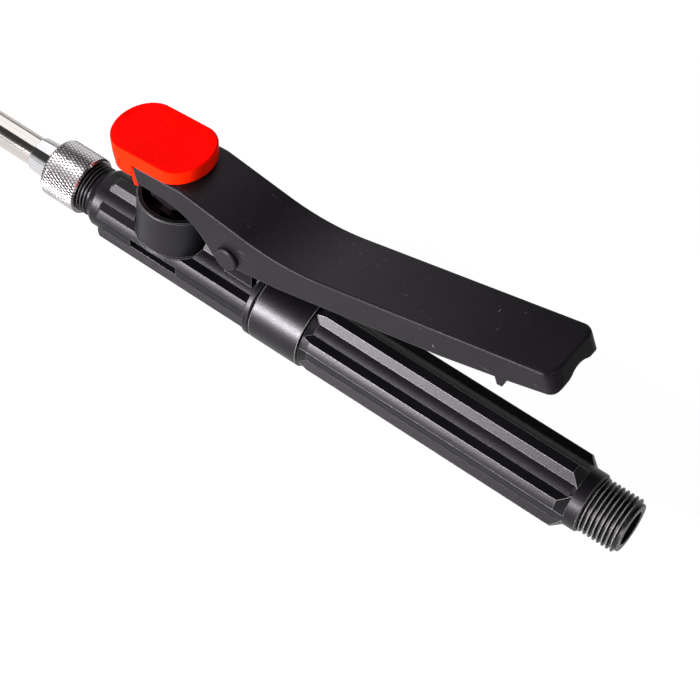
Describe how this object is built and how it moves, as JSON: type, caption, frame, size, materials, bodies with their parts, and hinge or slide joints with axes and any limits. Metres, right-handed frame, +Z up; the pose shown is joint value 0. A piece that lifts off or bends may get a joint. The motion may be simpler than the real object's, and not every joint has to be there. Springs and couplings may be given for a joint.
{
  "type": "sprayer trigger handle",
  "caption": "Ribbed sprayer grip with a hose thread, a squeeze lever that lifts a sprung valve stem, a sliding thumb piece, a knurled nut, a steel lance and a cone nozzle.",
  "frame": {"origin": "centre of the hose end face, on the axis of the inlet bore", "axes": "+X along the handle, out of the hose end; the lance points to -X. +Z up, on the lever's side. +Y to the side of the pivot pin's clip"},
  "size_m": [0.4751, 0.0318, 0.081],
  "materials": {
    "grip_plastic": "satin moulded",
    "body_plastic": "satin moulded",
    "cup_plastic": "satin moulded",
    "lever_plastic": "fine matt",
    "pin_plastic": "satin moulded",
    "nozzle_plastic": "satin moulded",
    "strainer_plastic": "plain moulded",
    "red_plastic": "soft gloss",
    "rubber": "plain",
    "brass": "turned",
    "steel": "drawn",
    "nut_chrome": "plated, diamond knurl",
    "ferrule_chrome": "polished",
    "tube_steel": "polished"
  },
  "bodies": {
    "handle": {"grip": "grip_plastic", "strainer_frame": "strainer_plastic", "strainer_mesh": "steel", "tenon_ring": "rubber", "valve_body": "body_plastic", "valve_cup": "cup_plastic", "gland_nut": "pin_plastic", "stem_ring": "rubber", "valve_spring": "steel", "pivot_pin": "pin_plastic", "pivot_clip": "steel", "lance_gasket": "rubber", "lance_ferrule": "ferrule_chrome", "lance_tube": "tube_steel", "nozzle_holder": "nozzle_plastic", "swirl_disc": "brass", "nozzle_ring": "rubber"},
    "lever_arm": {"lever": "lever_plastic"},
    "thumb_piece": {"thumb_slide": "red_plastic", "slide_keeper": "pin_plastic", "slide_screw": "steel"},
    "stem": {"valve_stem": "pin_plastic", "valve_seal": "rubber", "lift_pin": "steel"},
    "lance_nut": {"knurled_nut": "nut_chrome"},
    "spray_cap": {"nozzle_cap": "nozzle_plastic"}
  },
  "joints": [
    {"name": "lever_pivot", "type": "hinge", "parent": "handle", "child": "lever_arm", "pos_m": [-0.1648, 0, 0.0272], "axis": [0, 1, 0], "range_deg": [0, 10], "stiffness_Nm_per_rad": 1, "springref_deg": -11.46},
    {"name": "stem_lift", "type": "slide", "parent": "handle", "child": "stem", "axis": [0, 0, 1], "range_m": [0, 0.006], "deforming": ["valve_spring"]},
    {"name": "slide_move", "type": "slide", "parent": "lever_arm", "child": "thumb_piece", "axis": [-0.9969, 0, -0.0785], "range_m": [0, 0.005]},
    {"name": "nut_turn", "type": "hinge", "parent": "handle", "child": "lance_nut", "pos_m": [-0.2468, 0, 0], "axis": [1, 0, 0], "continuous": true},
    {"name": "cap_turn", "type": "hinge", "parent": "handle", "child": "spray_cap", "pos_m": [-0.4666, 0, 0], "axis": [1, 0, 0], "continuous": true}
  ],
  "couplings": [
    {"joint": "stem_lift", "follows": "lever_pivot", "m_per_rad": 0.0335}
  ]
}
